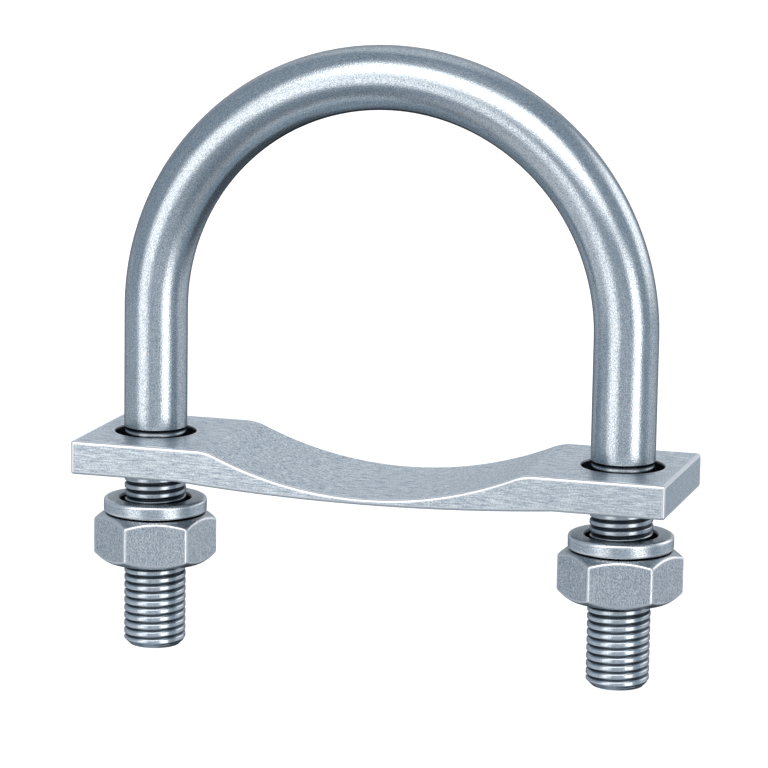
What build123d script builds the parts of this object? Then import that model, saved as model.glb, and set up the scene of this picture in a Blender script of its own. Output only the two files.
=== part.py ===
"""U-bolt pipe clamp: a bent round bar with two threaded legs, a recessed saddle plate,
and a spring lock washer and a hex nut on each leg.

The origin is the centre of the arch, where the axis of a clamped pipe lies. +Z points to the top
of the arch, the legs run down along -Z, X goes from leg to leg, and Y is the pipe's axis.
All sizes are in millimetres.
"""

import os

from build123d import *

# Bar and legs
ROD_RADIUS = 5.0             # M10 bar
LEG_SPACING = 76.0           # from leg axis to leg axis
ARCH_RADIUS = LEG_SPACING / 2  # of the bar's centre line
SHANK_END_Z = -20.0          # the plain shank ends here and the thread starts
SHANK_CHAMFER = 0.6
THREAD_RADIUS = 4.9          # crests of the M10 x 1.25 thread
LEG_END_Z = -54.5
LEG_END_CHAMFER = 0.9

# Saddle plate
PLATE_LENGTH = 95.0
PLATE_WIDTH = 26.0
PLATE_TOP_Z = -19.8
PLATE_THICKNESS = 5.3
RECESS_RADIUS = 60.0         # concave seat that faces the arch
WEB_THICKNESS = 1.0          # what is left of the plate in the middle
SHOULDER_RADIUS = 8.0        # blend from the seat to the flat ends
BELLY_HALF_SPAN = 30.0       # the underside is flat outside this and bows down inside it
BELLY_DEPTH = 1.3
PLATE_HOLE_RADIUS = 6.4      # loose on the legs
PLATE_EDGE_RADIUS = 0.4
HOLE_EDGE_CHAMFER = 0.3

# Spring lock washers
WASHER_TOP_Z = -30.5
WASHER_THICKNESS = 2.5
WASHER_OUTER_RADIUS = 8.2
WASHER_INNER_RADIUS = 5.6
WASHER_EDGE_RADIUS = 0.45
SPLIT_GAP = 0.9              # the ring is cut through once, at the back
SPLIT_SLANT = 20.0           # degrees from upright

# Hex nuts
NUT_GAP = 0.05               # running gap between washer and nut
NUT_HEIGHT = 7.7
NUT_ACROSS_FLATS = 17.0
NUT_BORE_RADIUS = 4.95       # 0.05 mm clear of the thread crests
NUT_BORE_CHAMFER = 0.5
NUT_FACE_RADIUS = 8.0        # flat ring left inside the corner chamfer
NUT_CHAMFER_SLOPE = 0.6      # fall per millimetre of radius

# Each leg's name, its X, and how far its nut has stopped turning past square, in degrees
LEGS = [("left", -LEG_SPACING / 2, 20.0), ("right", LEG_SPACING / 2, 13.0)]

PLATE_BOTTOM_Z = PLATE_TOP_Z - PLATE_THICKNESS
SEAT_BOTTOM_Z = PLATE_BOTTOM_Z - BELLY_DEPTH + WEB_THICKNESS
WASHER_BOTTOM_Z = WASHER_TOP_Z - WASHER_THICKNESS
NUT_TOP_Z = WASHER_BOTTOM_Z - NUT_GAP
NUT_BOTTOM_Z = NUT_TOP_Z - NUT_HEIGHT


def leg_spots():
    """The two leg axes, as points in a horizontal sketch."""
    return [(leg_x, 0) for _, leg_x, _ in LEGS]


def save(part, name):
    """Label a finished piece and write it as its own node."""
    part.label = name
    export_step(part, f"parts/{name}.step")


def washer_on(leg_x):
    """A ring with rounded edges, cut through by one slanted slit at the back."""
    with BuildPart() as washer:
        with BuildSketch(Plane((leg_x, 0, WASHER_BOTTOM_Z))):
            Circle(WASHER_OUTER_RADIUS)
            Circle(WASHER_INNER_RADIUS, mode=Mode.SUBTRACT)
        extrude(amount=WASHER_THICKNESS)
        fillet(washer.edges().filter_by(GeomType.CIRCLE), WASHER_EDGE_RADIUS)
        middle_z = WASHER_BOTTOM_Z + WASHER_THICKNESS / 2
        with BuildSketch(Plane((leg_x, 0, middle_z), x_dir=(-1, 0, 0), z_dir=(0, 1, 0))):
            Rectangle(SPLIT_GAP, 2 * WASHER_THICKNESS, rotation=SPLIT_SLANT)
        extrude(amount=2 * WASHER_OUTER_RADIUS, mode=Mode.SUBTRACT)
    return washer.part


def nut_on(leg_x, turn):
    """A hex nut with both faces chamfered at the corners and a countersunk bore."""
    corner_radius = NUT_ACROSS_FLATS / 3**0.5
    widest = corner_radius + 1  # the turned outline reaches past the corners
    fall = (widest - NUT_FACE_RADIUS) * NUT_CHAMFER_SLOPE
    with BuildPart() as nut:
        with BuildSketch(Plane((leg_x, 0, NUT_BOTTOM_Z))):
            RegularPolygon(NUT_ACROSS_FLATS / 2, 6, major_radius=False, rotation=turn)
        extrude(amount=NUT_HEIGHT)
        with BuildSketch(Plane((leg_x, 0, 0), x_dir=(1, 0, 0), z_dir=(0, -1, 0))):
            with BuildLine():
                Polyline(
                    (0, NUT_TOP_Z),
                    (NUT_FACE_RADIUS, NUT_TOP_Z),
                    (widest, NUT_TOP_Z - fall),
                    (widest, NUT_BOTTOM_Z + fall),
                    (NUT_FACE_RADIUS, NUT_BOTTOM_Z),
                    (0, NUT_BOTTOM_Z),
                    close=True,
                )
            make_face()
        revolve(axis=Axis((leg_x, 0, 0), (0, 0, 1)), mode=Mode.INTERSECT)
        with Locations((leg_x, 0, NUT_TOP_Z)):
            Hole(NUT_BORE_RADIUS)
        mouths = nut.edges().filter_by(GeomType.CIRCLE).group_by(SortBy.RADIUS)[0]
        chamfer(mouths, NUT_BORE_CHAMFER)
    return nut.part


os.makedirs("parts", exist_ok=True)

# The bar: shank and arch in one sweep, then the thinner threaded stretch of each leg
with BuildPart() as u_bolt:
    with BuildLine(Plane.XZ) as centre_line:
        Line((-ARCH_RADIUS, SHANK_END_Z), (-ARCH_RADIUS, 0))
        ThreePointArc((-ARCH_RADIUS, 0), (0, ARCH_RADIUS), (ARCH_RADIUS, 0))
        Line((ARCH_RADIUS, 0), (ARCH_RADIUS, SHANK_END_Z))
    with BuildSketch(Plane((-ARCH_RADIUS, 0, SHANK_END_Z))):
        Circle(ROD_RADIUS)
    sweep(path=centre_line.wire())
    chamfer(u_bolt.edges().group_by(Axis.Z)[0], SHANK_CHAMFER)
    with BuildSketch(Plane.XY.offset(SHANK_END_Z)):
        with Locations(*leg_spots()):
            Circle(THREAD_RADIUS)
    extrude(amount=LEG_END_Z - SHANK_END_Z)
    chamfer(u_bolt.edges().group_by(Axis.Z)[0], LEG_END_CHAMFER)
save(u_bolt.part, "u_bolt")

# The saddle plate: its side view, drawn once and made as thick as the plate is wide
with BuildPart() as saddle_plate:
    seat_centre_z = SEAT_BOTTOM_Z + RECESS_RADIUS
    seat_half_width = (RECESS_RADIUS**2 - (seat_centre_z - PLATE_TOP_Z) ** 2) ** 0.5
    end_x = PLATE_LENGTH / 2
    with BuildSketch(Plane.XZ) as side_view:
        with BuildLine():
            Line((-end_x, PLATE_TOP_Z), (-seat_half_width, PLATE_TOP_Z))
            ThreePointArc(
                (-seat_half_width, PLATE_TOP_Z), (0, SEAT_BOTTOM_Z), (seat_half_width, PLATE_TOP_Z)
            )
            Polyline(
                (seat_half_width, PLATE_TOP_Z),
                (end_x, PLATE_TOP_Z),
                (end_x, PLATE_BOTTOM_Z),
                (BELLY_HALF_SPAN, PLATE_BOTTOM_Z),
            )
            ThreePointArc(
                (BELLY_HALF_SPAN, PLATE_BOTTOM_Z),
                (0, PLATE_BOTTOM_Z - BELLY_DEPTH),
                (-BELLY_HALF_SPAN, PLATE_BOTTOM_Z),
            )
            Polyline(
                (-BELLY_HALF_SPAN, PLATE_BOTTOM_Z),
                (-end_x, PLATE_BOTTOM_Z),
                (-end_x, PLATE_TOP_Z),
            )
        make_face()
        shoulders = side_view.vertices().filter_by(
            lambda corner: abs(abs(corner.X) - seat_half_width) < PLATE_EDGE_RADIUS
        )
        fillet(shoulders, SHOULDER_RADIUS)
    extrude(amount=PLATE_WIDTH / 2, both=True)
    fillet(saddle_plate.edges(), PLATE_EDGE_RADIUS)
    with Locations(*[(leg_x, 0, PLATE_TOP_Z) for leg_x, _ in leg_spots()]):
        Hole(PLATE_HOLE_RADIUS)
    rims = saddle_plate.edges().filter_by(GeomType.CIRCLE).filter_by(
        lambda edge: abs(edge.radius - PLATE_HOLE_RADIUS) < PLATE_EDGE_RADIUS
    )
    chamfer(rims, HOLE_EDGE_CHAMFER)
save(saddle_plate.part, "saddle_plate")

for side, leg_x, turn in LEGS:
    save(washer_on(leg_x), f"washer_{side}")
    save(nut_on(leg_x, turn), f"nut_{side}")
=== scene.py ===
"""Looks of the U-bolt clamp: a bent bar with threaded legs, a saddle plate, washers and hex nuts.

Lengths are in metres, in the CAD model's frame: +Z to the top of the arch, X from leg to leg, and
the origin at the arch's centre. Every piece is a mesh built here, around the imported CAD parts.
"""

import math

import bmesh
import bpy
import numpy as np
from mathutils import Matrix, Vector


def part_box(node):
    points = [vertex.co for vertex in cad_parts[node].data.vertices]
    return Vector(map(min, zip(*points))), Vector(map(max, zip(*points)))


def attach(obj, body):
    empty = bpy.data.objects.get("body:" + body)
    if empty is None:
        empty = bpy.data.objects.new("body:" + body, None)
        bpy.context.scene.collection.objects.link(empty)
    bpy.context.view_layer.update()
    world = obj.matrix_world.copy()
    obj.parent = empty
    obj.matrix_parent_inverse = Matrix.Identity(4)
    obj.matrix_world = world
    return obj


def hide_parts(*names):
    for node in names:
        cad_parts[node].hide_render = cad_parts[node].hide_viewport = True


MM = 0.001
TAU = 2 * math.pi

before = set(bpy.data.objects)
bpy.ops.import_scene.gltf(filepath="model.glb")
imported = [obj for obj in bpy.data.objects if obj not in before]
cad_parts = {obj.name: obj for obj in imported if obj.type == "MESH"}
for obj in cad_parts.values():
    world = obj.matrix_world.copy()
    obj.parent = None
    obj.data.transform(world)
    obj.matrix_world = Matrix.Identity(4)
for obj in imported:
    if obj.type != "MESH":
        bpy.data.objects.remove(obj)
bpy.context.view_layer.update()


def box_of(node):
    low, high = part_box(node)
    return np.array(low), np.array(high)


# ---------------------------------------------------------------- sizes taken from the frame
BAR_LOW, BAR_HIGH = box_of("u_bolt")
PLATE_LOW, PLATE_HIGH = box_of("saddle_plate")
BAR_RADIUS = BAR_HIGH[1]
ARCH_RADIUS = BAR_HIGH[2] - BAR_RADIUS
LEG_END_Z = BAR_LOW[2]
LEG_X = {"left": -ARCH_RADIUS, "right": ARCH_RADIUS}

# ---------------------------------------------------------------- driving sizes of the details
PITCH = 1.25 * MM
CREST_RADIUS = 4.9 * MM
GROOVE_DEPTH = 0.42 * MM
CREST_SHARE = 0.46  # how much of the pitch is flat crest
FLANK_CURVE = 1.2  # 1 gives straight flanks, more rounds them off at the crest
THREAD_ROWS = 16  # rows of points in one pitch
THREAD_COLUMNS = 96
THREAD_TOP_Z = PLATE_HIGH[2] - 0.5 * MM
RUN_OUT = 1.4 * PITCH  # the first groove deepens over this length
LEG_CHAMFER = 0.9 * MM


def smooth(low, high, value):
    """0 below low, 1 above high, and a soft step between."""
    t = np.clip((np.asarray(value, float) - low) / (high - low), 0, 1)
    return t * t * (3 - 2 * t)


def groove(azimuth, z):
    """How deep the thread's groove is at a point, from 0 on the crest to 1 in the groove."""
    turn = np.mod(z / PITCH - azimuth / TAU, 1)
    return (np.maximum(np.abs(2 * turn - 1) - CREST_SHARE, 0) / (1 - CREST_SHARE)) ** FLANK_CURVE


# ---------------------------------------------------------------- mesh helpers
def strip(first, second, closed=True):
    """Quads between two rows of point numbers."""
    pairs = list(zip(first, second))
    if closed:
        pairs.append(pairs[0])
    return [(a, c, d, b) for (a, b), (c, d) in zip(pairs, pairs[1:])]


class Shell:
    """Points and faces of one piece, gathered row by row."""

    def __init__(self):
        self.points, self.faces = [], []

    def row(self, points):
        start = len(self.points)
        self.points.extend(tuple(map(float, p)) for p in points)
        return list(range(start, len(self.points)))

    def rows(self, rows, closed=True):
        """Quads between neighbouring rows of points. Gives the rows' point numbers."""
        numbers = [self.row(r) for r in rows]
        for a, b in zip(numbers, numbers[1:]):
            self.faces += strip(a, b, closed)
        return numbers

    def fan(self, numbers, centre):
        hub = self.row([centre])[0]
        self.faces += [(a, b, hub) for a, b in zip(numbers, numbers[1:] + numbers[:1])]

    def build(self, name, merge=0.002 * MM):
        mesh = bpy.data.meshes.new(name)
        bm = bmesh.new()
        made = [bm.verts.new(p) for p in self.points]
        for face in self.faces:
            if len(set(face)) == len(face):
                bm.faces.new([made[i] for i in face])
        bmesh.ops.remove_doubles(bm, verts=bm.verts, dist=merge)
        bmesh.ops.dissolve_degenerate(bm, edges=bm.edges, dist=merge)
        bmesh.ops.recalc_face_normals(bm, faces=bm.faces)
        mark_edges(bm)
        bm.to_mesh(mesh)
        bm.free()
        for polygon in mesh.polygons:
            polygon.use_smooth = True
        piece = bpy.data.objects.new(name, mesh)
        bpy.context.scene.collection.objects.link(piece)
        return piece


EDGE_RADIUS = 0.4 * MM  # a rounding this tight has a bend of 1
BEND_FROM, BEND_FULL = 0.12, 0.75  # bends at which the edges' wear and painted highlight start and are complete
SHELTERED, EXPOSED = -0.75, -0.1  # upward parts of the normal: edges that look down get no painted highlight, as if lit from above


def mark_edges(bm):
    """A point attribute: 1 on tight outside edges, for wear and a painted highlight, -1 in tight
    grooves, for painted shade, 0 on open faces.
    """
    bm.verts.ensure_lookup_table()
    bm.verts.index_update()
    bend = np.zeros(len(bm.verts))
    ends = np.array([[v.index for v in e.verts] for e in bm.edges])
    for edge, (a, b) in zip(bm.edges, ends):
        if len(edge.link_faces) != 2:
            continue
        length = edge.calc_length()
        width = sum(f.calc_area() for f in edge.link_faces) / (2 * length) if length else 0
        if width <= 0:
            continue
        value = edge.calc_face_angle_signed(0) / width * EDGE_RADIUS
        for i in (a, b):
            if abs(value) > abs(bend[i]):
                bend[i] = value
    bend = np.clip(bend, -1, 1)
    count = np.bincount(ends.ravel(), minlength=len(bend))
    for _ in range(2):
        total = np.bincount(ends[:, 0], bend[ends[:, 1]], len(bend))
        total += np.bincount(ends[:, 1], bend[ends[:, 0]], len(bend))
        bend = 0.5 * bend + 0.5 * total / np.maximum(count, 1)
    wear_sheen_and_shade = np.sign(bend) * smooth(BEND_FROM, BEND_FULL, np.abs(bend))
    facing = np.array([vert.normal.z for vert in bm.verts])
    # edges that look down lose their painted highlight, as if lit from above
    wear_sheen_and_shade = np.where(wear_sheen_and_shade > 0, wear_sheen_and_shade * smooth(SHELTERED, EXPOSED, facing), wear_sheen_and_shade)
    layer = bm.verts.layers.float.new("wear_sheen_and_shade")
    for vert, value in zip(bm.verts, wear_sheen_and_shade):
        vert[layer] = value


def set_grain(piece, grain):
    """Point attribute "grain": where a point lies along, across and through the metal's grain."""
    co = np.zeros(len(piece.data.vertices) * 3)
    piece.data.vertices.foreach_get("co", co)
    values = np.stack(grain(*co.reshape(-1, 3).T), 1).astype(np.float32)
    layer = piece.data.attributes.new("grain", "FLOAT_VECTOR", "POINT")
    layer.data.foreach_set("vector", values.ravel())


CREST_SHEEN = 0.12  # value on the thread's crests: a faint painted highlight
GROOVE_SHADE = 1.15  # how far the value falls from there to the bottom of the groove, into painted shade


def set_thread_sheen_and_shade(piece, axis_x, low_z, high_z, low_radius, high_radius):
    """Painted shade in the grooves and a painted highlight on the crests of the threaded surfaces
    between two heights and two radii.
    """
    mesh = piece.data
    co = np.zeros(len(mesh.vertices) * 3)
    mesh.vertices.foreach_get("co", co)
    x, y, z = co.reshape(-1, 3).T
    radius = np.hypot(x - axis_x, y)
    depth = groove(np.arctan2(y, x - axis_x), z)
    wear_sheen_and_shade = np.zeros(len(z), np.float32)
    layer = mesh.attributes["wear_sheen_and_shade"].data
    layer.foreach_get("value", wear_sheen_and_shade)
    threaded = (z > low_z) & (z < high_z) & (radius > low_radius) & (radius < high_radius)
    # crests get a faint painted highlight, grooves get painted shade
    wear_sheen_and_shade = np.where(threaded, CREST_SHEEN - GROOVE_SHADE * depth, wear_sheen_and_shade)
    layer.foreach_set("value", wear_sheen_and_shade.astype(np.float32))


def place(piece, node):
    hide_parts(node)
    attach(piece, node)
    return piece


def corner(radius, start, segments):
    """Points of a quarter round, as (a, b) from its centre, beginning at the angle start."""
    return [
        (radius * math.cos(a), radius * math.sin(a))
        for a in np.linspace(start, start + math.pi / 2, segments + 1)
    ]


SUPPORT = 0.14 * MM  # a narrow strip beside each rounding keeps the flat faces flat


def rounded_section(low_a, high_a, low_b, high_b, radius, segments=6, between=()):
    """A rounded rectangle as a closed list of (a, b), counterclockwise from the right side.

    between gives extra places along a on the two long sides.
    """
    out = []
    ra, rb = (high_a - low_a) / 2, (high_b - low_b) / 2
    ca, cb = (high_a + low_a) / 2, (high_b + low_b) / 2
    inner_a, inner_b = ra - radius, rb - radius
    step_a, step_b = min(SUPPORT, inner_a / 3), min(SUPPORT, inner_b / 3)
    spots = [s for s in between if abs(s - ca) < inner_a - 2 * step_a]
    for k, (sa, sb) in enumerate([(1, 1), (-1, 1), (-1, -1), (1, -1)]):
        arc = corner(radius, k * math.pi / 2, segments)
        out += [(ca + sa * inner_a + x, cb + sb * inner_b + y) for x, y in arc]
        if k == 0:
            out.append((ca + inner_a - step_a, high_b))
            out += [(s, high_b) for s in sorted(spots, reverse=True)]
            out.append((ca - inner_a + step_a, high_b))
        elif k == 1:
            out.append((low_a, cb + inner_b - step_b))
            out.append((low_a, cb - inner_b + step_b))
        elif k == 2:
            out.append((ca - inner_a + step_a, low_b))
            out += [(s, low_b) for s in sorted(spots)]
            out.append((ca + inner_a - step_a, low_b))
        else:
            out.append((high_a, cb - inner_b + step_b))
            out.append((high_a, cb + inner_b - step_b))
    return out


# ---------------------------------------------------------------- the bent bar
def thread_sleeve(shell, axis_x, azimuths, low_z, high_z, radius_at):
    """A skin with helical rows between two heights. radius_at(azimuth, z) gives its radius.

    Rows past either height are clipped to it, and the merge in Shell.build joins them.
    """
    count = int((high_z - low_z) / PITCH * THREAD_ROWS) + 4 * THREAD_ROWS
    start = math.floor(low_z / PITCH - 1) * THREAD_ROWS
    steps = start + np.arange(count)
    columns = []
    for azimuth in azimuths:
        z = np.clip(PITCH * (steps / THREAD_ROWS + azimuth / TAU), low_z, high_z)
        r = radius_at(azimuth, z)
        points = np.stack([axis_x + r * math.cos(azimuth), r * math.sin(azimuth), z], 1)
        columns.append(shell.row(points))
    for a, b in zip(columns, columns[1:]):
        shell.faces += strip(a, b, closed=False)
    shell.faces += strip(columns[-1][:-THREAD_ROWS], columns[0][THREAD_ROWS:], closed=False)


def leg_radius(azimuth, z):
    depth = GROOVE_DEPTH * smooth(0, RUN_OUT, THREAD_TOP_Z - z)
    radius = CREST_RADIUS - depth * groove(azimuth, z)
    return np.minimum(radius, CREST_RADIUS - LEG_CHAMFER + (z - LEG_END_Z))


BAR_AZIMUTHS = np.arange(THREAD_COLUMNS) * TAU / THREAD_COLUMNS
SHANK_END_Z = PLATE_HIGH[2] + 0.75 * MM  # the plain shank steps down to the thread here
RELIEF = 0.3 * MM  # length of the step, which runs into a shallow relief groove
# the relief's outline: (lengths of RELIEF below the step, steps of radius below the shank)
RELIEF_OUTLINE = [(0, 0.1), (0.3, 0.9), (0.7, 1.8), (1, 2.0), (1.6, 2.0), (2.2, 1.0)]


def ring(centre, outward, radius):
    across = np.array([0, 1, 0])
    return [
        np.array(centre) + radius * (math.cos(a) * np.array(outward) + math.sin(a) * across)
        for a in BAR_AZIMUTHS
    ]


def build_bar():
    shell = Shell()
    # heights and radii down one leg, from the arch to the top of the thread
    drop = BAR_RADIUS - CREST_RADIUS
    stations = [(z, BAR_RADIUS) for z in np.linspace(0, SHANK_END_Z + 2 * SUPPORT, 24)[1:]]
    stations += [(SHANK_END_Z + SUPPORT, BAR_RADIUS)]
    for down, inward in RELIEF_OUTLINE:
        stations.append((SHANK_END_Z - down * RELIEF, BAR_RADIUS - inward * drop))
    stations += [(THREAD_TOP_Z, CREST_RADIUS)]
    rows = [ring((-ARCH_RADIUS, 0, z), (-1, 0, 0), r) for z, r in reversed(stations)]
    for turn in np.linspace(math.pi, 0, 181):
        outward = np.array([math.cos(turn), 0, math.sin(turn)])
        rows.append(ring(ARCH_RADIUS * outward, outward, BAR_RADIUS))
    rows += [ring((ARCH_RADIUS, 0, z), (1, 0, 0), r) for z, r in stations]
    shell.rows(rows)
    for leg_x in LEG_X.values():
        thread_sleeve(shell, leg_x, BAR_AZIMUTHS, LEG_END_Z, THREAD_TOP_Z, leg_radius)
        end = CREST_RADIUS - LEG_CHAMFER
        radii = [end, end - 0.03 * MM, end * 0.8, end * 0.4]
        numbers = shell.rows([ring((leg_x, 0, LEG_END_Z), (1, 0, 0), r) for r in radii])
        shell.fan(numbers[-1], (leg_x, 0, LEG_END_Z))
    piece = shell.build("bent_bar")
    for leg_x in LEG_X.values():
        low_z, high_z = LEG_END_Z + 0.6 * LEG_CHAMFER, THREAD_TOP_Z - 0.5 * RUN_OUT
        set_thread_sheen_and_shade(piece, leg_x, low_z, high_z, 0.8 * CREST_RADIUS, BAR_RADIUS)

    def straightened(x, y, z):
        """The bar unbent: length along it, then the two directions across."""
        turn = np.arctan2(np.maximum(z, 0), x)
        on_arch = z > 0
        on_leg = np.where(x < 0, z, math.pi * ARCH_RADIUS - z)
        along = np.where(on_arch, ARCH_RADIUS * (math.pi - turn), on_leg)
        outward = np.where(on_arch, np.hypot(x, z), np.abs(x)) - ARCH_RADIUS
        return along, outward, y

    set_grain(piece, straightened)
    return piece


# ---------------------------------------------------------------- the saddle plate
RECESS_RADIUS = 60 * MM
WEB_THICKNESS = 1.0 * MM
SHOULDER_RADIUS = 8 * MM
BELLY_HALF_SPAN = 30 * MM
PAD_THICKNESS = 5.3 * MM
PLATE_ROUND = 0.42 * MM
HOLE_RADIUS = 6.4 * MM
HOLE_ROUND = 0.35 * MM
WINDOW = 8.0 * MM  # half the side of the square patch round each hole
PATCH_STEPS = 20  # points along one side of that patch
OUTER_LINES = (PLATE_HIGH[1] - PLATE_ROUND - 1.5 * MM, 10 * MM)  # lines of points beside the patch
FLATNESS = 0.001 * MM


def plate_top(x):
    """Height of the plate's upper side: flat, a rounded shoulder, then the round recess."""
    x = np.abs(x)
    top = PLATE_HIGH[2]
    centre_z = PLATE_LOW[2] + WEB_THICKNESS + RECESS_RADIUS
    # the shoulder's circle touches the flat from below and the recess's circle from outside
    shoulder_z = top - SHOULDER_RADIUS
    shoulder_x = math.sqrt((RECESS_RADIUS + SHOULDER_RADIUS) ** 2 - (centre_z - shoulder_z) ** 2)
    meet_x = shoulder_x * RECESS_RADIUS / (RECESS_RADIUS + SHOULDER_RADIUS)
    seat = centre_z - np.sqrt(RECESS_RADIUS**2 - np.minimum(x, meet_x) ** 2)
    shoulder = shoulder_z + np.sqrt(np.maximum(SHOULDER_RADIUS**2 - (shoulder_x - x) ** 2, 0))
    return np.where(x >= shoulder_x, top, np.where(x >= meet_x, shoulder, seat))


def plate_bottom(x):
    x = np.abs(x)
    flat = PLATE_HIGH[2] - PAD_THICKNESS
    depth = flat - PLATE_LOW[2]
    radius = (BELLY_HALF_SPAN**2 + depth**2) / (2 * depth)
    belly = PLATE_LOW[2] + radius - np.sqrt(radius**2 - np.minimum(x, BELLY_HALF_SPAN) ** 2)
    return np.where(x >= BELLY_HALF_SPAN, flat, belly)


def build_plate():
    shell = Shell()
    half_width = PLATE_HIGH[1]
    end_x = PLATE_HIGH[0]
    patch = np.linspace(-WINDOW, WINDOW, PATCH_STEPS + 1)
    outer = [s * y for y in OUTER_LINES for s in (-1, 1)]
    between = sorted(set(np.round(np.r_[patch, outer], 9)))
    # stations along the plate as (x, inset of the section)
    turn = np.linspace(0, math.pi / 2, 7)
    ends = [(end_x - PLATE_ROUND * (1 - math.sin(a)), PLATE_ROUND * (1 - math.cos(a))) for a in turn]
    right = [(x, 0) for x in np.linspace(0, LEG_X["right"] - WINDOW, 61)[1:]]
    right += [(LEG_X["right"] + p, 0) for p in patch[1:]]
    right += [(end_x - PLATE_ROUND - SUPPORT, 0)] + ends
    stations = [(-x, inset) for x, inset in reversed(right)] + [(0, 0)] + right
    rows = []
    for x, inset in stations:
        section = rounded_section(
            -half_width + inset,
            half_width - inset,
            float(plate_bottom(x)) + inset,
            float(plate_top(x)) - inset,
            max(PLATE_ROUND - inset, 0.02 * MM),  # a point would merge into one vertex
            between=between,
        )
        rows.append([(x, y, z) for y, z in section])
    numbers = [shell.row(r) for r in rows]
    spots = {n: p for row, line in zip(numbers, rows) for n, p in zip(row, line)}

    def in_window(face):
        x, y, _ = np.mean([spots[n] for n in face], 0)
        return abs(abs(x) - ARCH_RADIUS) < WINDOW and abs(y) < WINDOW

    top, bottom = PLATE_HIGH[2], float(plate_bottom(end_x))

    def on_flat(face):
        height = np.mean([spots[n][2] for n in face])
        return min(abs(height - top), abs(height - bottom)) < FLATNESS

    for a, b in zip(numbers, numbers[1:]):
        shell.faces += [f for f in strip(a, b) if not (in_window(f) and on_flat(f))]
    # the flat ends: a smaller ring, then a fan
    for row, line in ((numbers[0], rows[0]), (numbers[-1], rows[-1])):
        centre = np.mean(line, 0)
        shrink = [centre + (np.array(p) - centre) * np.array([1, 0.985, 0.97]) for p in line]
        inner = shell.row(shrink)
        shell.faces += strip(row, inner)
        shell.fan(inner, centre)
    # the holes: from the square patch to the rim, down the wall and out to the other patch
    quarter = np.linspace(-1, 1, PATCH_STEPS + 1)[:-1]
    square = [(1, t) for t in quarter] + [(-t, 1) for t in quarter]
    square += [(-1, -t) for t in quarter] + [(t, -1) for t in quarter]
    square = WINDOW * np.array(square)
    even = np.arange(len(square)) / len(square) * TAU - math.pi / 4
    circle = np.stack([np.cos(even), np.sin(even)], 1)
    rim = HOLE_RADIUS + HOLE_ROUND
    for leg_x in LEG_X.values():
        path = [(rim + SUPPORT, top)]
        path += [
            (rim - HOLE_ROUND * math.sin(a), top - HOLE_ROUND * (1 - math.cos(a)))
            for a in np.linspace(0, math.pi / 2, 7)
        ]
        wall_high, wall_low = top - HOLE_ROUND - SUPPORT, bottom + HOLE_ROUND + SUPPORT
        path += [(HOLE_RADIUS, z) for z in np.linspace(wall_high, wall_low, 6)]
        path += [
            (rim - HOLE_ROUND * math.sin(a), bottom + HOLE_ROUND * (1 - math.cos(a)))
            for a in np.linspace(math.pi / 2, 0, 7)
        ]
        path += [(rim + SUPPORT, bottom)]
        lines = []
        for share in (0, 0.5):
            flat = square * (1 - share) + circle * (rim + SUPPORT) * share
            lines.append([(leg_x + x, y, top) for x, y in flat])
        lines += [[(leg_x + r * x, r * y, z) for x, y in circle] for r, z in path]
        for share in (0.5, 0):
            flat = square * (1 - share) + circle * (rim + SUPPORT) * share
            lines.append([(leg_x + x, y, bottom) for x, y in flat])
        shell.rows(lines)
    piece = shell.build("saddle")
    set_grain(piece, lambda x, y, z: (x, y, z))
    return piece


# ---------------------------------------------------------------- the spring washers
WASHER_INNER_RADIUS = 5.6 * MM
WASHER_ROUND = 0.45 * MM
WASHER_RISE = 0.2 * MM  # how far one end of the ring stands above the other
SPLIT_GAP = 0.9 * MM
SPLIT_SLANT = math.radians(20)
SPLIT_ROUND = 0.15 * MM


def build_washer(side):
    node = f"washer_{side}"
    low, high = box_of(node)
    leg_x = LEG_X[side]
    outer_radius = high[1]
    middle_radius = (outer_radius + WASHER_INNER_RADIUS) / 2
    thickness = high[2] - low[2] - WASHER_RISE
    middle_z = (low[2] + high[2]) / 2
    gap = SPLIT_GAP / middle_radius
    start, stop = math.pi / 2 + gap / 2, math.pi / 2 + TAU - gap / 2
    turn = np.linspace(0, math.pi / 2, 5)
    ends = [(SPLIT_ROUND * (1 - math.cos(a)), SPLIT_ROUND * (1 - math.sin(a))) for a in turn]
    ends = [(s / middle_radius, inset) for s, inset in ends]
    ends += [((SPLIT_ROUND + SUPPORT) / middle_radius, 0)]
    stations = [(start + a, inset) for a, inset in ends]
    stations += [(a, 0) for a in np.linspace(start, stop, 121)[2:-2]]
    stations += [(stop - a, inset) for a, inset in reversed(ends)]
    rows = []
    for azimuth, inset in stations:
        share = (azimuth - start) / (stop - start) - 0.5
        section = rounded_section(
            WASHER_INNER_RADIUS + inset,
            outer_radius - inset,
            -thickness / 2 + inset,
            thickness / 2 - inset,
            WASHER_ROUND - inset,
            segments=5,
        )
        line = []
        for r, dz in section:
            a = azimuth - dz * math.tan(SPLIT_SLANT) / middle_radius
            line.append((leg_x + r * math.cos(a), r * math.sin(a), middle_z + dz + WASHER_RISE * share))
        rows.append(line)
    shell = Shell()
    numbers = shell.rows(rows)
    for row, line in ((numbers[0], rows[0]), (numbers[-1], rows[-1])):
        centre = np.mean(line, 0)
        inner = shell.row([centre + (np.array(p) - centre) * 0.9 for p in line])
        shell.faces += strip(row, inner)
        shell.fan(inner, centre)
    piece = shell.build(f"spring_washer_{side}")

    def along_ring(x, y, z):
        azimuth = np.mod(np.arctan2(y, x - leg_x) - math.pi / 2, TAU)
        return azimuth * middle_radius, np.hypot(x - leg_x, y), z

    set_grain(piece, along_ring)
    return place(piece, node)


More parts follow.
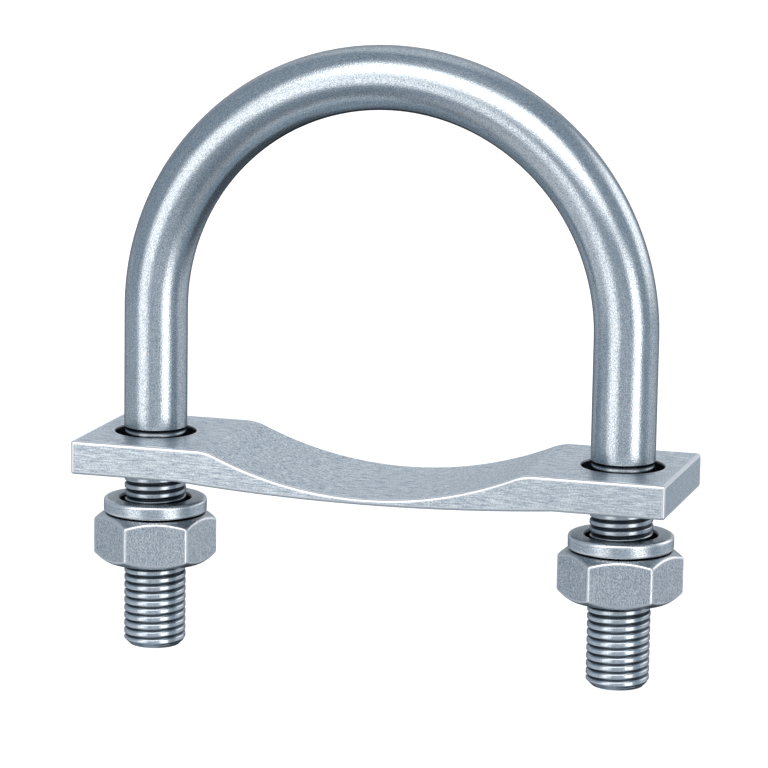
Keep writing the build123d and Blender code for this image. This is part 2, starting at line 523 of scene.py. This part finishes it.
# ---------------------------------------------------------------- the hex nuts
NUT_ACROSS_FLATS = 17 * MM
NUT_TURN = {"left": math.radians(20), "right": math.radians(13)}
NUT_CORNER = 0.55 * MM  # rounding of the six upright edges
NUT_FACE_RADIUS = 8.0 * MM
NUT_CHAMFER_SLOPE = 0.6
NUT_EDGE = 0.3 * MM  # rounding between the chamfer and the flats
FACE_EDGE = 0.12 * MM  # rounding between the face ring and the chamfer
MOUTH_RADIUS = 5.45 * MM
MOUTH_RIM = 0.08 * MM  # a narrow ring that keeps the mouth's edge crisp
FACE_MIDDLE = 6.8 * MM  # a ring of points halfway across the face
THREAD_CLEARANCE = 0.06 * MM


def hexagon(turn):
    """Outline of the nut as (azimuth, distance), with rounded corners."""
    apothem = NUT_ACROSS_FLATS / 2
    inner = apothem - NUT_CORNER
    reach = inner * math.tan(math.pi / 6)
    out = []
    for side in range(6):
        normal = turn + (side + 0.5) * math.pi / 3
        flat = np.r_[-reach, -reach + SUPPORT, np.linspace(-reach, reach, 9)[1:-1], reach - SUPPORT]
        for s in flat:
            out.append((apothem, s, normal))
        for a in np.linspace(0, math.pi / 3, 6)[:-1]:
            out.append((inner + NUT_CORNER * math.cos(a), reach + NUT_CORNER * math.sin(a), normal))
    points = []
    for forward, sideways, normal in out:
        x = forward * math.cos(normal) - sideways * math.sin(normal)
        y = forward * math.sin(normal) + sideways * math.cos(normal)
        points.append((math.atan2(y, x) % TAU, math.hypot(x, y)))
    return sorted(points)


def soft_corner(start, knee, end, segments=5):
    """A short curve from start to end that leans on the knee point."""
    t = np.linspace(0, 1, segments + 1)[:, None]
    start, knee, end = map(np.array, (start, knee, end))
    return (1 - t) ** 2 * start + 2 * t * (1 - t) * knee + t**2 * end


def nut_half(distance, half_height):
    """(radius, height above the middle) from the bore's mouth to the middle of a flat."""
    face = half_height
    fall = NUT_CHAMFER_SLOPE
    ring_edge = soft_corner(
        (NUT_FACE_RADIUS - FACE_EDGE, face),
        (NUT_FACE_RADIUS, face),
        (NUT_FACE_RADIUS + FACE_EDGE, face - fall * FACE_EDGE),
        3,
    )
    knee_z = face - fall * (distance - NUT_FACE_RADIUS)
    side_edge = soft_corner(
        (distance - NUT_EDGE, knee_z + fall * NUT_EDGE),
        (distance, knee_z),
        (distance, knee_z - NUT_EDGE),
    )
    path = [(MOUTH_RADIUS, face), (MOUTH_RADIUS + MOUTH_RIM, face), (FACE_MIDDLE, face)]
    path += [(NUT_FACE_RADIUS - FACE_EDGE - SUPPORT, face)] + [tuple(p) for p in ring_edge]
    middle = (ring_edge[-1] + side_edge[0]) / 2
    path += [tuple(middle)] + [tuple(p) for p in side_edge]
    path += [(distance, knee_z - NUT_EDGE - SUPPORT)]
    path += [(distance, (knee_z - NUT_EDGE) * s) for s in (0.66, 0.33)]
    return path


def build_nut(side):
    node = f"nut_{side}"
    low, high = box_of(node)
    leg_x = LEG_X[side]
    middle_z, half_height = (low[2] + high[2]) / 2, (high[2] - low[2]) / 2
    outline = hexagon(NUT_TURN[side])
    columns = []
    for azimuth, distance in outline:
        upper = nut_half(distance, half_height)
        path = upper + [(distance, 0)] + [(r, -z) for r, z in reversed(upper)]
        columns.append(
            [(leg_x + r * math.cos(azimuth), r * math.sin(azimuth), middle_z + z) for r, z in path]
        )
    shell = Shell()
    shell.rows(list(zip(*columns)))

    def bore_radius(azimuth, z):
        inner = CREST_RADIUS + THREAD_CLEARANCE - GROOVE_DEPTH * groove(azimuth, z)
        mouth = MOUTH_RADIUS - np.minimum(z - low[2], high[2] - z)
        return np.maximum(inner, mouth)

    thread_sleeve(shell, leg_x, [a for a, _ in outline], low[2], high[2], bore_radius)
    piece = shell.build(f"hex_nut_{side}")
    mouth = MOUTH_RADIUS - CREST_RADIUS
    set_thread_sheen_and_shade(piece, leg_x, low[2] + mouth, high[2] - mouth, 0.8 * CREST_RADIUS, MOUTH_RADIUS)
    set_grain(piece, lambda x, y, z: (z, x, y))
    return place(piece, node)


# ---------------------------------------------------------------- materials
class Nodes:
    """Short words for building a node tree."""

    def __init__(self, owner):
        owner.use_nodes = True
        self.tree = owner.node_tree
        self.tree.nodes.clear()

    def add(self, kind, inputs=(), output=0, **settings):
        node = self.tree.nodes.new(kind)
        for name, value in settings.items():
            setattr(node, name, value)
        for name, value in dict(inputs).items():
            socket = node.inputs[name]
            if isinstance(value, bpy.types.NodeSocket):
                self.tree.links.new(value, socket)
            else:
                socket.default_value = value
        return node.outputs[output] if node.outputs else node

    def math(self, operation, a, b=0.0, clamp=False):
        return self.add("ShaderNodeMath", {0: a, 1: b}, operation=operation, use_clamp=clamp)

    def swing(self, value, share):
        """How far value is from a half, times share."""
        return self.math("MULTIPLY", self.math("SUBTRACT", value, 0.5), share)

    def step(self, value, low, high, to_low=0.0, to_high=1.0):
        """A soft step from to_low to to_high as value goes from low to high."""
        return self.add(
            "ShaderNodeMapRange",
            {
                "Value": value,
                "From Min": low,
                "From Max": high,
                "To Min": to_low,
                "To Max": to_high,
            },
            interpolation_type="SMOOTHSTEP",
        )

    def mix(self, share, a, b):
        """Colour a where share is 0 and b where it is 1."""
        node = self.tree.nodes.new("ShaderNodeMix")
        node.data_type = "RGBA"
        for socket, value in ((node.inputs[0], share), (node.inputs[6], a), (node.inputs[7], b)):
            if isinstance(value, bpy.types.NodeSocket):
                self.tree.links.new(value, socket)
            else:
                socket.default_value = value
        return node.outputs[2]

    def noise(self, vector, scale, stretch=(1, 1, 1), detail=2.0, rough=0.5):
        mapped = self.add(
            "ShaderNodeMapping", {"Vector": vector, "Scale": stretch}, vector_type="POINT"
        )
        return self.add(
            "ShaderNodeTexNoise",
            {"Vector": mapped, "Scale": scale, "Detail": detail, "Roughness": rough},
        )


def rgba(red, green, blue):
    return (red, green, blue, 1.0)


SHADE_TONE = rgba(0.035, 0.045, 0.06)  # painted shade, put in grooves and narrow gaps
CREVICE_REACH = 6 * MM
FINE_GRAIN = 5600  # noise scales, in waves per metre
BLOTCHES = 420
BROAD_PATCHES = 38
BLOTCH_SHARE, BROAD_SHARE = 0.14, 0.2  # how much the two change the tone
WORN_SHEEN_FROM, WORN_SHEEN_FULL = 0.05, 0.38  # values of the edge attribute where an edge's wear and painted highlight start and are full
HOLLOW_FROM, HOLLOW_FULL = -0.15, -0.9  # the same for painted shade in a groove
HOLLOW_SHADE = 0.85
OPEN_FROM, OPEN_FULL = 0.84, 0.26  # the same for painted shade in a gap, by how open the place is
CREVICE_SHADE = 0.93
BUMP_HEIGHT = 0.05 * MM


def steel(
    name,
    dark,
    light,
    worn_sheen,
    speckle,
    streak,
    roughness,
    streak_stretch=0.03,
    depth=1.0,
    top_gain=0.0,
    rim_tint=1.0,
    grain_scale=FINE_GRAIN,
):
    """Satin steel: speckle, streaks along the grain, soft blotches, edges bright with wear and a
    painted highlight, painted shade in grooves and gaps.

    dark and light are the tones that the marks swing between, speckle and streak how strong the
    two kinds of mark are, and streak_stretch how short a streak is. depth is the bump's strength,
    top_gain how much stronger the marks are on faces that look up, and rim_tint the glancing tint.
    """
    material = bpy.data.materials.new(name)
    n = Nodes(material)
    grain = n.add("ShaderNodeAttribute", attribute_name="grain", output=1)
    wear_sheen_and_shade = n.add("ShaderNodeAttribute", attribute_name="wear_sheen_and_shade", output=2)
    fine = n.noise(grain, grain_scale, (0.7, 1, 1), 1.0, 0.5)
    lines = n.noise(grain, grain_scale, (streak_stretch, 1, 1), 1.0, 0.5)
    blotch = n.noise(grain, BLOTCHES, (0.6, 1, 1), 3.0, 0.6)
    broad = n.noise(grain, BROAD_PATCHES, (1, 1, 1), 2.0, 0.5)
    marks = n.math("ADD", n.swing(fine, speckle), n.swing(lines, streak))
    if top_gain:
        facing = n.tree.nodes.new("ShaderNodeSeparateXYZ")
        n.tree.links.new(n.add("ShaderNodeNewGeometry", output=1), facing.inputs[0])
        marks = n.math("MULTIPLY", marks, n.step(facing.outputs[2], 0.5, 0.9, 1.0, 1.0 + top_gain))
    tone = n.math("ADD", marks, 0.5)
    tone = n.math("ADD", tone, n.swing(blotch, BLOTCH_SHARE))
    tone = n.math("ADD", tone, n.swing(broad, BROAD_SHARE), clamp=True)
    colour = n.mix(tone, dark, light)
    # painted highlight, with wear: near-white colour on the edges
    ragged = n.math("ADD", wear_sheen_and_shade, n.swing(fine, 0.5))
    colour = n.mix(n.step(ragged, WORN_SHEEN_FROM, WORN_SHEEN_FULL), colour, worn_sheen)
    # painted shade: dark colour in the grooves
    hollow = n.step(wear_sheen_and_shade, HOLLOW_FROM, HOLLOW_FULL)
    colour = n.mix(n.math("MULTIPLY", hollow, HOLLOW_SHADE), colour, SHADE_TONE)
    # painted shade: dark colour in narrow gaps, from ambient occlusion
    open_air = n.add(
        "ShaderNodeAmbientOcclusion", {"Distance": CREVICE_REACH}, output=1, samples=6
    )
    crevice = n.step(open_air, OPEN_FROM, OPEN_FULL)
    colour = n.mix(n.math("MULTIPLY", crevice, CREVICE_SHADE), colour, SHADE_TONE)
    # light marks are smoother, and the grooves are rougher
    rough = n.math("ADD", roughness, n.swing(tone, -0.16))
    rough = n.math("ADD", rough, n.swing(broad, 0.12))
    rough = n.math("ADD", rough, n.math("MULTIPLY", hollow, 0.15), clamp=True)
    height = n.math("ADD", n.math("MULTIPLY", fine, speckle), n.math("MULTIPLY", lines, streak))
    height = n.math("ADD", height, n.math("MULTIPLY", blotch, 0.02))
    normal = n.add(
        "ShaderNodeBump", {"Strength": 0.3 * depth, "Distance": BUMP_HEIGHT, "Height": height}
    )
    shader = n.add(
        "ShaderNodeBsdfPrincipled",
        {"Base Color": colour, "Metallic": 1.0, "Roughness": rough, "Normal": normal},
    )
    shader.node.inputs["Specular Tint"].default_value = rgba(rim_tint, rim_tint, rim_tint)
    n.add("ShaderNodeOutputMaterial", {"Surface": shader})
    return material


BAR_STEEL = steel(
    "bar_steel",
    dark=rgba(0.27, 0.335, 0.40),
    light=rgba(0.94, 0.99, 1.0),
    worn_sheen=rgba(0.95, 0.98, 1.0),
    speckle=1.5,
    streak=0.3,
    roughness=0.17,
    depth=0.75,
    rim_tint=0.55,
    grain_scale=6300,
)
THREAD_STEEL = steel(
    "thread_steel",
    dark=rgba(0.40, 0.47, 0.54),
    light=rgba(0.92, 0.98, 1.0),
    worn_sheen=rgba(0.97, 0.99, 1.0),
    speckle=0.5,
    streak=0.15,
    roughness=0.20,
    depth=0.3,
    rim_tint=0.55,
    grain_scale=6300,
)
PLATE_STEEL = steel(
    "plate_steel",
    dark=rgba(0.39, 0.46, 0.53),
    light=rgba(0.94, 0.99, 1.0),
    worn_sheen=rgba(0.98, 0.99, 1.0),
    speckle=1.4,
    streak=1.6,
    roughness=0.40,
    streak_stretch=0.08,
    depth=0.4,
    top_gain=1.0,
)
WASHER_STEEL = steel(
    "washer_steel",
    dark=rgba(0.41, 0.48, 0.55),
    light=rgba(0.94, 0.99, 1.0),
    worn_sheen=rgba(0.95, 0.98, 1.0),
    speckle=2.4,
    streak=0.6,
    roughness=0.30,
    streak_stretch=0.12,
    depth=0.7,
    rim_tint=0.7,
)
NUT_STEEL = steel(
    "nut_steel",
    dark=rgba(0.42, 0.49, 0.56),
    light=rgba(0.98, 1.0, 1.0),
    worn_sheen=rgba(0.98, 0.99, 1.0),
    speckle=3.2,
    streak=0.7,
    roughness=0.34,
    streak_stretch=0.08,
    depth=0.7,
    rim_tint=0.7,
)

bar = place(build_bar(), "u_bolt")
bar.data.materials.append(BAR_STEEL)
bar.data.materials.append(THREAD_STEEL)
for polygon in bar.data.polygons:
    polygon.material_index = int(polygon.center.z < THREAD_TOP_Z)
saddle = place(build_plate(), "saddle_plate")
saddle.data.materials.append(PLATE_STEEL)
for side in LEG_X:
    build_washer(side).data.materials.append(WASHER_STEEL)
    build_nut(side).data.materials.append(NUT_STEEL)

# ---------------------------------------------------------------- camera
VIEW_AZIMUTH = math.radians(16.279)
VIEW_ELEVATION = math.radians(10.784)
VIEW_ROLL = math.radians(0.903)
VIEW_DISTANCE = 607.03 * MM
AIM = (-0.363 * MM, -9.8 * MM)  # sideways and upwards from the origin
SENSOR_WIDTH = 36  # these two are in millimetres, as Blender wants them
FOCAL_LENGTH = 182.91


def direction(azimuth, elevation):
    return Vector(
        (
            math.sin(azimuth) * math.cos(elevation),
            -math.cos(azimuth) * math.cos(elevation),
            math.sin(elevation),
        )
    )


def set_camera():
    camera = bpy.data.objects.new("camera", bpy.data.cameras.new("camera"))
    bpy.context.scene.collection.objects.link(camera)
    back = direction(VIEW_AZIMUTH, VIEW_ELEVATION)
    right = Vector((math.cos(VIEW_AZIMUTH), math.sin(VIEW_AZIMUTH), 0))
    up = back.cross(right)
    across = math.cos(VIEW_ROLL) * right + math.sin(VIEW_ROLL) * up
    upright = -math.sin(VIEW_ROLL) * right + math.cos(VIEW_ROLL) * up
    place_at = AIM[0] * right + Vector((0, 0, AIM[1])) + VIEW_DISTANCE * back
    axes = Matrix((across, upright, back)).transposed()
    camera.matrix_world = Matrix.Translation(place_at) @ axes.to_4x4()
    camera.data.sensor_width = SENSOR_WIDTH
    camera.data.lens = FOCAL_LENGTH
    camera.data.clip_start = 0.01
    camera.data.clip_end = 50
    bpy.context.scene.camera = camera


set_camera()

# ---------------------------------------------------------------- floor and light
FLOOR_RADIUS = 4.0
FLOOR_BEND = 1.0  # radius of the curve from floor to wall
WALL_HEIGHT = 3.0
FLOOR_DROP = 10 * MM  # beyond CREVICE_REACH, so that the leg ends don't darken as if in a gap
FLOOR_TURNS = 72
FLOOR_TONE = 0.55
FLOOR_GLOW = 0.8


def build_floor():
    """A pale floor that curves up into a round wall, so no horizon shows."""
    bend = np.linspace(0, math.pi / 2, 17)
    flat = FLOOR_RADIUS - FLOOR_BEND
    profile = [(r, 0) for r in np.linspace(0.05, 1, 8)[:-1] * flat]
    profile += [(flat + FLOOR_BEND * math.sin(a), FLOOR_BEND * (1 - math.cos(a))) for a in bend]
    profile += [(FLOOR_RADIUS, WALL_HEIGHT)]
    base_z = LEG_END_Z - FLOOR_DROP
    bm = bmesh.new()
    turns = np.linspace(0, TAU, FLOOR_TURNS + 1)[:-1]
    rows = []
    for r, z in profile:
        points = [(r * math.cos(a), r * math.sin(a), base_z + z) for a in turns]
        rows.append([bm.verts.new(p) for p in points])
    bm.faces.new(rows[0])
    for inner, outer in zip(rows, rows[1:]):
        for face in strip(inner, outer):
            bm.faces.new(face)
    bmesh.ops.recalc_face_normals(bm, faces=bm.faces)
    mesh = bpy.data.meshes.new("floor")
    bm.to_mesh(mesh)
    bm.free()
    for polygon in mesh.polygons:
        polygon.use_smooth = True
    floor = bpy.data.objects.new("floor", mesh)
    bpy.context.scene.collection.objects.link(floor)
    material = bpy.data.materials.new("pale_floor")
    n = Nodes(material)
    tone = rgba(FLOOR_TONE, FLOOR_TONE, FLOOR_TONE)
    matt = n.add("ShaderNodeBsdfDiffuse", {"Color": tone, "Roughness": 0.5})
    glow = n.add("ShaderNodeEmission", {"Color": rgba(1, 1, 1), "Strength": FLOOR_GLOW})
    both = n.add("ShaderNodeAddShader", {0: matt, 1: glow})
    n.add("ShaderNodeOutputMaterial", {"Surface": both})
    mesh.materials.append(material)
    # the steel reflects the world's walls and softboxes, and not the floor
    floor.visible_glossy = False
    floor.visible_diffuse = False


build_floor()

# Everything below is in degrees from the camera's direction, and azimuth 180 is behind the object.
WALL_TINT, LAMP_TINT = rgba(0.76, 0.89, 1.04), rgba(1.05, 1.0, 0.97)
# (elevation, brightness) of the walls
WALL_LEVELS = [
    (-90, 0.44),
    (-68, 0.44),
    (-58, 0.22),
    (-46, 0.30),
    (-15, 0.42),
    (10, 0.42),
    (60, 0.42),
    (90, 0.40),
]
# (azimuths left and right, elevations low and high, strength, softness of the sides and of the ends)
SOFTBOXES = [
    (-56, 34, 14, 57, 1.08, 8, 9),
    (-48, 26, 23, 53, 0.85, 10, 8),
    (-62, -27, -17, 12, 1.1, 10, 8),
    (25, 52, -23, 10, 1.65, 7, 9),
    (92, 134, 4, 34, 1.15, 10, 10),
    (88, 146, -24, 4, 0.2, 7, 8),
    (-150, -118, -24, 4, 0.12, 7, 8),
    (-118, -48, -48, -14, 0.30, 14, 10),
    (28, 76, -66, -24, 0.16, 12, 12),
    (-60, 60, 62, 86, 0.10, 20, 8),
    (-18, 22, -26, -2, 0.18, 8, 6),
    (-70, 30, -72, -54, 0.18, 20, 8),
]
WALL_SHADE = (75, 172, -80, -26, 0.6, 12, 10)  # a panel that darkens the walls instead
FLAG_SHADE = 0.9  # a dark cloth low behind the object takes this share of the walls' light
RIM_STRENGTH = 0.30  # a wide light high behind the object


def build_world():
    world = bpy.data.worlds.new("studio")
    bpy.context.scene.world = world
    n = Nodes(world)
    toward = n.add("ShaderNodeTexCoord", output=0)
    # turned so that Y points away from the camera
    turned = n.add(
        "ShaderNodeMapping",
        {"Vector": toward, "Rotation": (0, 0, -VIEW_AZIMUTH)},
        vector_type="POINT",
    )
    parts = n.tree.nodes.new("ShaderNodeSeparateXYZ")
    n.tree.links.new(turned, parts.inputs[0])
    x, y, z = parts.outputs
    degrees = 180 / math.pi
    azimuth = n.math("MULTIPLY", n.math("ARCTAN2", x, n.math("MULTIPLY", y, -1.0)), degrees)
    elevation = n.math("MULTIPLY", n.math("ARCSINE", z), degrees)

    def panel(left, right, low, high, strength, side_soft, end_soft):
        """A softbox between two azimuths and two elevations, with soft edges."""
        sides = n.math(
            "MULTIPLY",
            n.step(azimuth, left - side_soft, left + side_soft),
            n.step(azimuth, right + side_soft, right - side_soft),
        )
        ends = n.math(
            "MULTIPLY",
            n.step(elevation, low - end_soft, low + end_soft),
            n.step(elevation, high + end_soft, high - end_soft),
        )
        return n.math("MULTIPLY", n.math("MULTIPLY", sides, ends), strength)

    ramp = n.tree.nodes.new("ShaderNodeValToRGB")
    n.tree.links.new(n.math("DIVIDE", n.math("ADD", elevation, 90.0), 180.0), ramp.inputs[0])
    stops = ramp.color_ramp.elements
    for i, (height, level) in enumerate(WALL_LEVELS):
        place_on_ramp = (height + 90) / 180
        stop = stops[i] if i < 2 else stops.new(place_on_ramp)  # a new ramp has two stops
        stop.position = place_on_ramp
        stop.color = rgba(level, level, level)
    shade = panel(*WALL_SHADE)
    room = n.math("MULTIPLY", ramp.outputs[0], n.math("SUBTRACT", 1.0, shade))
    # the flag and the rim light, by how far round towards the back they are, and by elevation
    behind = n.math("ABSOLUTE", azimuth)
    low_behind = n.math("MULTIPLY", n.step(elevation, 2.0, -8.0), n.step(elevation, -50.0, -36.0))
    flag = n.math("MULTIPLY", n.step(behind, 157.0, 170.0), low_behind)
    room = n.math("MULTIPLY", room, n.math("SUBTRACT", 1.0, n.math("MULTIPLY", flag, FLAG_SHADE)))
    high_behind = n.math("MULTIPLY", n.step(elevation, -2.0, 8.0), n.step(elevation, 80.0, 66.0))
    rim = n.math("MULTIPLY", n.step(behind, 140.0, 160.0), high_behind)
    lights = n.math("MULTIPLY", rim, RIM_STRENGTH)
    for softbox in SOFTBOXES:
        lights = n.math("ADD", lights, panel(*softbox))
    walls = n.add("ShaderNodeBackground", {"Color": WALL_TINT, "Strength": room})
    lamps = n.add("ShaderNodeBackground", {"Color": LAMP_TINT, "Strength": lights})
    both = n.add("ShaderNodeAddShader", {0: walls, 1: lamps})
    n.add("ShaderNodeOutputWorld", {"Surface": both})


build_world()
scene = bpy.context.scene
scene.view_settings.view_transform = "Standard"
scene.view_settings.look = "None"
